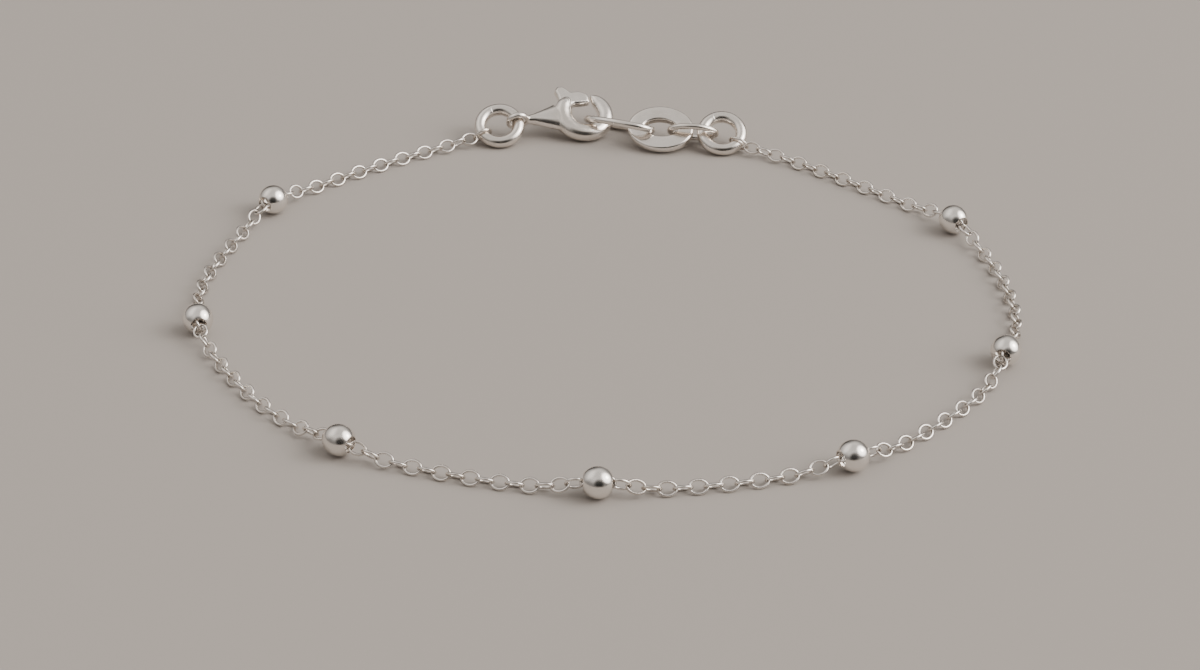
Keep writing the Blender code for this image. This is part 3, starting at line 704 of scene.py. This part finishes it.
# Lobster clasp: cast silver in one piece, a hooked jaw on a tapered neck with an eye at its tail.
# The jaw's back is slotted for the sprung lever, and the whole is smoothed on the wheel.
JAW_CENTRE = Vector((-2.52, 28.72, 1.63))
JAW_RADIUS = 2.00
CLASP_TILT = 26.0
EYE_ANGLE = 20.0
EYE_RADIUS = 0.88
EYE_WIRE = 0.22
EYE_WIDENING = 1.3
NECK_END = -0.875
SLOT_HALF = 0.50
SLOT_PLACE = (-0.51, 1.31)
SLOT_SIZE = (1.6, 2.0)
PIVOT_ANGLE = 140.0
PIN_RADIUS = 0.25
PIN_CLEARANCE = 0.02
PIN_HALF = 0.78
PIN_SIDES = 32
JAW_SECTIONS = [
    {"angle": 122.0, "reach": 1.00, "width": 0.240, "thick": 0.300},
    {"angle": 130.0, "reach": 1.00, "width": 0.330, "thick": 0.390},
    {"angle": 146.0, "reach": 1.00, "width": 0.420, "thick": 0.430},
    {"angle": 170.0, "reach": 1.00, "width": 0.480, "thick": 0.440},
    {"angle": 200.0, "reach": 1.00, "width": 0.465, "thick": 0.420},
    {"angle": 230.0, "reach": 1.00, "width": 0.440, "thick": 0.400},
    {"angle": 260.0, "reach": 1.00, "width": 0.415, "thick": 0.380},
    {"angle": 290.0, "reach": 1.00, "width": 0.400, "thick": 0.370},
    {"angle": 320.0, "reach": 1.00, "width": 0.390, "thick": 0.360},
    {"angle": 350.0, "reach": 1.00, "width": 0.385, "thick": 0.350},
    {"angle": 378.0, "reach": 1.00, "width": 0.370, "thick": 0.330},
    {"angle": 402.0, "reach": 1.01, "width": 0.310, "thick": 0.290},
    {"angle": 414.0, "reach": 1.03, "width": 0.225, "thick": 0.240},
    {"angle": 423.0, "reach": 1.10, "width": 0.075, "thick": 0.150},
]
NECK_SECTIONS = [
    {"along": 0.00, "width": 0.190, "thick": 0.210},
    {"along": 0.17, "width": 0.260, "thick": 0.260},
    {"along": 0.48, "width": 0.480, "thick": 0.330},
    {"along": 0.74, "width": 0.670, "thick": 0.380},
    {"along": 0.87, "width": 0.690, "thick": 0.385},
    {"along": 1.00, "width": 0.620, "thick": 0.360},
]
JAW_STATIONS = 50
CAST_SIDES = 24
CAST_VOXEL = 0.055
CAST_CREASE = 40.0

eye_centre = ring_point(RING_LEFT_CENTRE, EYE_ANGLE)
tail = eye_centre - JAW_CENTRE
clasp_x = -tail.normalized()
level_y = Vector((0, 0, 1)).cross(clasp_x).normalized()
clasp_y = (level_y * math.cos(math.radians(CLASP_TILT))
           + clasp_x.cross(level_y) * math.sin(math.radians(CLASP_TILT)))
CLASP_FRAME = (Matrix.Translation(JAW_CENTRE)
               @ Matrix((clasp_x, clasp_y, clasp_x.cross(clasp_y))).transposed().to_4x4())
PIVOT = direction(PIVOT_ANGLE) * JAW_RADIUS


def build_jaw():
    """A round bar drawn out round the mouth, each section turned and sized from the last."""
    clear_bench()
    angles = np.linspace(JAW_SECTIONS[0]["angle"], JAW_SECTIONS[-1]["angle"], JAW_STATIONS)
    known = [row["angle"] for row in JAW_SECTIONS]
    widths = np.interp(angles, known, [row["width"] * JAW_RADIUS for row in JAW_SECTIONS])
    thicks = np.interp(angles, known, [row["thick"] * JAW_RADIUS for row in JAW_SECTIONS])
    reaches = np.interp(angles, known, [row["reach"] * JAW_RADIUS for row in JAW_SECTIONS])
    bpy.ops.mesh.primitive_circle_add(
        vertices=CAST_SIDES, radius=1.0, fill_type="NGON", rotation=(math.pi / 2, 0, 0))
    jaw = name_new("jaw")
    jaw.scale = (widths[0], thicks[0], 1.0)
    jaw.location = (JAW_RADIUS, 0, 0)
    bpy.ops.object.transform_apply(location=True, rotation=True, scale=True)
    jaw.rotation_euler = (0, 0, math.radians(angles[0]))
    bpy.ops.object.transform_apply(location=True, rotation=True, scale=True)
    bpy.ops.object.mode_set(mode="EDIT")
    bpy.ops.mesh.select_all(action="SELECT")
    for i in range(1, len(angles)):
        outward = direction(angles[i])
        bpy.ops.mesh.extrude_region_move()
        bpy.ops.transform.rotate(value=-math.radians(angles[i] - angles[i - 1]), orient_axis="Z",
                                 center_override=(0, 0, 0))
        bpy.ops.transform.translate(value=outward * (reaches[i] - reaches[i - 1]))
        wider = widths[i] / widths[i - 1]
        thicker = thicks[i] / thicks[i - 1]
        bpy.ops.transform.resize(value=(wider, wider, thicker), center_override=outward * reaches[i])
    bpy.ops.mesh.select_all(action="SELECT")
    bpy.ops.mesh.normals_make_consistent(inside=False)
    bpy.ops.object.mode_set(mode="OBJECT")
    return jaw


def build_neck():
    clear_bench()
    start = EYE_RADIUS - tail.length
    end = NECK_END * JAW_RADIUS
    rows = [{"x": start + row["along"] * (end - start), "width": row["width"] * JAW_RADIUS,
             "thick": row["thick"] * JAW_RADIUS} for row in NECK_SECTIONS]
    bpy.ops.mesh.primitive_circle_add(
        vertices=CAST_SIDES, radius=1.0, fill_type="NGON", rotation=(0, math.pi / 2, 0))
    neck = name_new("neck")
    bpy.ops.object.transform_apply(location=True, rotation=True, scale=True)
    neck.scale = (1.0, rows[0]["width"], rows[0]["thick"])
    neck.location = (rows[0]["x"], 0, 0)
    bpy.ops.object.transform_apply(location=True, rotation=True, scale=True)
    bpy.ops.object.mode_set(mode="EDIT")
    bpy.ops.mesh.select_all(action="SELECT")
    for before, after in zip(rows, rows[1:]):
        bpy.ops.mesh.extrude_region_move()
        bpy.ops.transform.translate(value=(after["x"] - before["x"], 0, 0))
        bpy.ops.transform.resize(
            value=(1, after["width"] / before["width"], after["thick"] / before["thick"]),
            center_override=(after["x"], 0, 0))
    bpy.ops.mesh.select_all(action="SELECT")
    bpy.ops.mesh.normals_make_consistent(inside=False)
    bpy.ops.object.mode_set(mode="OBJECT")
    return neck


def build_eye():
    clear_bench()
    bpy.ops.mesh.primitive_torus_add(
        major_segments=48, minor_segments=16, major_radius=EYE_RADIUS, minor_radius=EYE_WIRE,
        rotation=(math.pi / 2, 0, 0), location=(-tail.length, 0, 0))
    eye = name_new("eye")
    bpy.ops.object.transform_apply(location=True, rotation=True, scale=True)
    bpy.ops.object.mode_set(mode="EDIT")
    bpy.ops.mesh.select_all(action="SELECT")
    bpy.ops.transform.resize(value=(1, EYE_WIDENING, 1), center_override=(-tail.length, 0, 0))
    bpy.ops.object.mode_set(mode="OBJECT")
    return eye


def finish_with(piece, kind, **settings):
    modifier = piece.modifiers.new(kind.lower(), kind)
    for key, value in settings.items():
        setattr(modifier, key, value)
    only(piece)
    bpy.ops.object.modifier_apply(modifier=modifier.name)


def cut(piece, tool):
    finish_with(piece, "BOOLEAN", operation="DIFFERENCE", solver="EXACT", object=tool)
    bpy.data.objects.remove(tool, do_unlink=True)


def cast(piece):
    finish_with(piece, "REMESH", mode="VOXEL", voxel_size=CAST_VOXEL)


def smooth_and_drill(piece, crease):
    """Rounds a casting's edges as the wheel does and bores it for the rivet, with a little play."""
    finish_with(piece, "SMOOTH", factor=0.5, iterations=6)
    clear_bench()
    bpy.ops.mesh.primitive_cylinder_add(
        vertices=PIN_SIDES, radius=PIN_RADIUS + PIN_CLEARANCE, depth=4 * PIN_HALF, location=PIVOT)
    cut(piece, name_new("rivet_drill"))
    only(piece)
    bpy.ops.object.shade_smooth_by_angle(angle=math.radians(crease))


casting = weld([build_jaw(), build_neck(), build_eye()], "casting")
cast(casting)
clear_bench()
bpy.ops.mesh.primitive_cube_add(
    size=1.0, location=(SLOT_PLACE[0] * JAW_RADIUS, SLOT_PLACE[1] * JAW_RADIUS, 0))
slot_tool = name_new("slot_tool")
slot_tool.scale = (SLOT_SIZE[0] * JAW_RADIUS, SLOT_SIZE[1] * JAW_RADIUS, 2 * SLOT_HALF)
bpy.ops.object.transform_apply(location=True, rotation=True, scale=True)
cut(casting, slot_tool)
cast(casting)
smooth_and_drill(casting, CAST_CREASE)
lay([casting], [CLASP_FRAME])
dress(casting, clasp_silver, "bracelet", "silver_clasp", "clasp_body")


# Rivet: a plain silver pin through the clasp's cheeks, on which the lever turns.
# It is cut from wire, and its ends are peened round.
PIN_ROUND = 0.08
PIN_ROUND_ABOVE = 60.0

pin_silver = silver("pin_silver", (0.84, 0.80, 0.77), (0.60, 0.54, 0.48), polish=0.24, haze=0.10,
                    tarnish=0.4, scratches=0.8, relief=0.004)
clear_bench()
bpy.ops.mesh.primitive_cylinder_add(vertices=PIN_SIDES, radius=PIN_RADIUS, depth=2 * PIN_HALF, location=PIVOT)
rivet = name_new("rivet")
bpy.ops.object.transform_apply(location=True, rotation=True, scale=True)
finish_with(rivet, "BEVEL", width=PIN_ROUND, segments=4, limit_method="ANGLE",
            angle_limit=math.radians(PIN_ROUND_ABOVE))
only(rivet)
bpy.ops.object.shade_smooth_by_angle(angle=math.radians(CAST_CREASE))
lay([rivet], [CLASP_FRAME])
dress(rivet, pin_silver, "bracelet", "silver_pin", "clasp_pin")


# Lever: a flat cast arm that closes the mouth, bored for the rivet, with a thumb nub that stands up behind.
# It sits in the jaw's slot and is sprung shut.
LEVER_HALF = 0.42
LEVER_ROUND = 0.18
LEVER_CREASE = 50.0
LEVER_OUTLINE = [
    {"part": "arm", "reach": 0.700, "angle": 57.0},
    {"part": "arm", "reach": 0.960, "angle": 64.5},
    {"part": "arm", "reach": 1.150, "angle": 71.0},
    {"part": "arm", "reach": 1.280, "angle": 90.0},
    {"part": "arm", "reach": 1.320, "angle": 107.0},
    {"part": "nub", "reach": 1.560, "angle": 110.0},
    {"part": "nub", "reach": 1.790, "angle": 114.0},
    {"part": "nub", "reach": 1.880, "angle": 121.0},
    {"part": "nub", "reach": 1.790, "angle": 128.0},
    {"part": "nub", "reach": 1.500, "angle": 133.0},
    {"part": "root", "reach": 0.270, "angle": 160.0},
    {"part": "root", "reach": 0.270, "angle": 215.0},
    {"part": "root", "reach": 0.270, "angle": 270.0},
    {"part": "root", "reach": 0.270, "angle": 320.0},
    {"part": "arm", "reach": 0.660, "angle": 120.0},
    {"part": "arm", "reach": 0.560, "angle": 98.0},
    {"part": "arm", "reach": 0.580, "angle": 74.0},
]


def build_lever():
    """The arm and nub are laid out from the jaw's centre, and the root is round about the rivet."""
    clear_bench()
    points = []
    for row in LEVER_OUTLINE:
        point = direction(row["angle"]) * row["reach"] * JAW_RADIUS
        if row["part"] == "root":
            point += PIVOT
        points.append(point)
    flat_half = LEVER_HALF - LEVER_ROUND
    bpy.ops.mesh.primitive_circle_add(vertices=len(points), radius=1.0, fill_type="NGON")
    lever = name_new("lever_arm")
    for vert, point in zip(lever.data.vertices, reversed(points)):
        vert.co = point - Vector((0, 0, flat_half))
    bpy.ops.object.mode_set(mode="EDIT")
    bpy.ops.mesh.select_all(action="SELECT")
    bpy.ops.mesh.extrude_region_move(TRANSFORM_OT_translate={"value": (0, 0, 2 * flat_half)})
    bpy.ops.mesh.select_all(action="SELECT")
    bpy.ops.mesh.normals_make_consistent(inside=False)
    pick_level_faces(lever)
    bpy.ops.mesh.inset(thickness=LEVER_ROUND, depth=LEVER_ROUND)
    bpy.ops.object.mode_set(mode="OBJECT")
    cast(lever)
    smooth_and_drill(lever, LEVER_CREASE)
    return lever


lever = build_lever()
lay([lever], [CLASP_FRAME])
dress(lever, clasp_silver, "lever", "silver_clasp", "clasp_lever")


# Connector ring and small link: oval hoops of round wire, the first from the jaw to the tag, the second
# from the tag to the right jump ring. Both stand nearly edge-on to the viewer.
CONNECTOR_HALF_LENGTH = 3.20
CONNECTOR_HALF_WIDTH = 1.90
CONNECTOR_WIRE = 0.32
CONNECTOR_TILT = -32.0
CONNECTOR_SHIFT = (0.0, -0.20)
CONNECTOR_JAW_ANGLE = -30.0
SMALL_LINK_HALF_LENGTH = 2.10
SMALL_LINK_HALF_WIDTH = 1.20
SMALL_LINK_WIRE = 0.27
SMALL_LINK_TILT = -52.0
SMALL_LINK_SHIFT = (-0.10, 0.0)
SMALL_LINK_RING_ANGLE = 180.0


def between(start, end, tilt, shift):
    """A frame near the middle of two points, its x from one to the other and its far edge raised by tilt."""
    along = (end - start).normalized()
    level = Vector((0, 0, 1)).cross(along).normalized()
    far = level * math.cos(math.radians(tilt)) + along.cross(level) * math.sin(math.radians(tilt))
    turned = Matrix((along, far, along.cross(far))).transposed().to_4x4()
    return Matrix.Translation((start + end) / 2) @ turned @ Matrix.Translation((*shift, 0))


jaw_hold = CLASP_FRAME @ (direction(CONNECTOR_JAW_ANGLE) * JAW_RADIUS)
rim_middle = Vector((TAG_HALF_LENGTH - TAG_RIM / 2, 0, 0))
right_ring_edge = ring_point(RING_RIGHT_CENTRE, SMALL_LINK_RING_ANGLE)
connector = wire_hoop("connector", CONNECTOR_HALF_LENGTH, CONNECTOR_HALF_WIDTH, CONNECTOR_WIRE)
lay([connector], [between(jaw_hold, TAG_FRAME @ -rim_middle, CONNECTOR_TILT, CONNECTOR_SHIFT)])
dress(connector, clasp_silver, "bracelet", "silver_clasp", "connector_ring")
tie_link = wire_hoop("tie_link", SMALL_LINK_HALF_LENGTH, SMALL_LINK_HALF_WIDTH, SMALL_LINK_WIRE)
lay([tie_link], [between(TAG_FRAME @ rim_middle, right_ring_edge, SMALL_LINK_TILT, SMALL_LINK_SHIFT)])
dress(tie_link, clasp_silver, "bracelet", "silver_clasp", "small_link")


# Floor: a plain sheet of pale warm-grey paper under the bracelet, which isn't part of it.
# It is one flat face, four metres across.
FLOOR_COLOUR = (0.41, 0.376, 0.348, 1.0)

bpy.ops.object.select_all(action="DESELECT")
bpy.ops.mesh.primitive_plane_add(size=4.0)
floor = name_new("floor")
paper = bpy.data.materials.new("floor_paper")
paper.use_nodes = True
paper_shader = paper.node_tree.nodes["Principled BSDF"]
paper_shader.inputs["Base Color"].default_value = FLOOR_COLOUR
paper_shader.inputs["Roughness"].default_value = 0.75
paper_shader.inputs["Specular IOR Level"].default_value = 0.3
floor.data.materials.append(paper)


# Light: a broad soft window of light from the right, where the photograph's highlights lie, a weaker glow
# from the upper left and a dim warm room, dark in front and behind. Their edges fade, so that the polished
# beads show no hard boxes, and a round lamp in the window casts the shadows.
KEY_TOWARDS = Vector((0.80, -0.02, 0.60)).normalized()
LEFT_TOWARDS = Vector((-0.72, 0.30, 0.62)).normalized()
DARK_TOWARDS = Vector((0.15, -0.90, 0.42)).normalized()
BACK_TOWARDS = Vector((-0.60, 0.79, 0.05)).normalized()
UPWARDS = Vector((0.0, 0.0, 1.0))
LIGHT_COLOUR = (1.0, 0.955, 0.905)
ROOM_STRENGTH = 0.22
LAMP_DISTANCE = 0.5
LAMP_WIDTH = 0.16
LAMP_POWER = 0.45

room = bpy.context.scene.world or bpy.data.worlds.new("room")
bpy.context.scene.world = room
room.use_nodes = True
room_nodes = room.node_tree
background = room_nodes.nodes["Background"]
background.inputs["Color"].default_value = (*LIGHT_COLOUR, 1.0)
looking = add_node(room_nodes, "ShaderNodeTexCoord")


def glow(towards, outer, inner, strength):
    """Light that fades in from outer to inner degrees off a direction."""
    facing = add_node(room_nodes, "ShaderNodeVectorMath", operation="DOT_PRODUCT")
    room_nodes.links.new(looking.outputs["Generated"], facing.inputs[0])
    facing.inputs[1].default_value = towards
    fade = add_node(room_nodes, "ShaderNodeMapRange", interpolation_type="SMOOTHSTEP")
    room_nodes.links.new(facing.outputs["Value"], fade.inputs["Value"])
    fade.inputs["From Min"].default_value = math.cos(math.radians(outer))
    fade.inputs["From Max"].default_value = math.cos(math.radians(inner))
    fade.inputs["To Min"].default_value = 0.0
    fade.inputs["To Max"].default_value = strength
    return fade.outputs["Result"]


def sum_of(first, second):
    node = add_node(room_nodes, "ShaderNodeMath", operation="ADD")
    room_nodes.links.new(first, node.inputs[0])
    if isinstance(second, float):
        node.inputs[1].default_value = second
    else:
        room_nodes.links.new(second, node.inputs[1])
    return node.outputs[0]


def scaled(value, darkness):
    """The light with a share of it taken away where darkness is above 0."""
    keep = add_node(room_nodes, "ShaderNodeMath", operation="SUBTRACT")
    keep.inputs[0].default_value = 1.0
    room_nodes.links.new(darkness, keep.inputs[1])
    node = add_node(room_nodes, "ShaderNodeMath", operation="MULTIPLY")
    room_nodes.links.new(value, node.inputs[0])
    room_nodes.links.new(keep.outputs[0], node.inputs[1])
    return node.outputs[0]


light = sum_of(glow(UPWARDS, outer=78.0, inner=34.0, strength=0.62), ROOM_STRENGTH)
light = scaled(light, glow(UPWARDS, outer=38.0, inner=4.0, strength=0.12))
light = scaled(light, glow(BACK_TOWARDS, outer=56.0, inner=24.0, strength=0.60))
light = sum_of(light, glow(LEFT_TOWARDS, outer=46.0, inner=10.0, strength=0.50))
light = sum_of(light, glow(KEY_TOWARDS, outer=38.0, inner=15.0, strength=4.0))
light = scaled(light, glow(DARK_TOWARDS, outer=40.0, inner=12.0, strength=0.90))
room_nodes.links.new(light, background.inputs["Strength"])

lamp = bpy.data.lights.new("window_lamp", "AREA")
lamp.shape = "DISK"
lamp.size = LAMP_WIDTH
lamp.energy = LAMP_POWER
lamp.color = LIGHT_COLOUR
lamp_piece = bpy.data.objects.new("window_lamp", lamp)
bpy.context.scene.collection.objects.link(lamp_piece)
lamp_piece.matrix_world = (Matrix.Translation(KEY_TOWARDS * LAMP_DISTANCE)
                           @ KEY_TOWARDS.to_track_quat("Z", "Y").to_matrix().to_4x4())


# Camera: the photograph's viewing angle, worked out from the even pitch of the links.
CAMERA_PLACE = (-0.456, -211.16, 125.78)
CAMERA_PITCH_DOWN = 31.62
CAMERA_ROLL = 1.71
CAMERA_FOCAL_PIXELS = 2947.0
PHOTO_WIDTH = 1200.0
SENSOR_WIDTH = 36.0
eye_piece = bpy.data.cameras.new("photo_camera")
eye_piece.sensor_fit = "HORIZONTAL"
eye_piece.sensor_width = SENSOR_WIDTH
eye_piece.lens = CAMERA_FOCAL_PIXELS / PHOTO_WIDTH * SENSOR_WIDTH
eye_piece.clip_start = 0.01
eye_piece.clip_end = 20.0
camera = bpy.data.objects.new("photo_camera", eye_piece)
bpy.context.scene.collection.objects.link(camera)
look = (Matrix.Rotation(math.radians(90.0 - CAMERA_PITCH_DOWN), 4, "X")
        @ Matrix.Rotation(math.radians(CAMERA_ROLL), 4, "Z"))
camera.matrix_world = Matrix.Translation(Vector(CAMERA_PLACE) * MM) @ look
bpy.context.scene.camera = camera
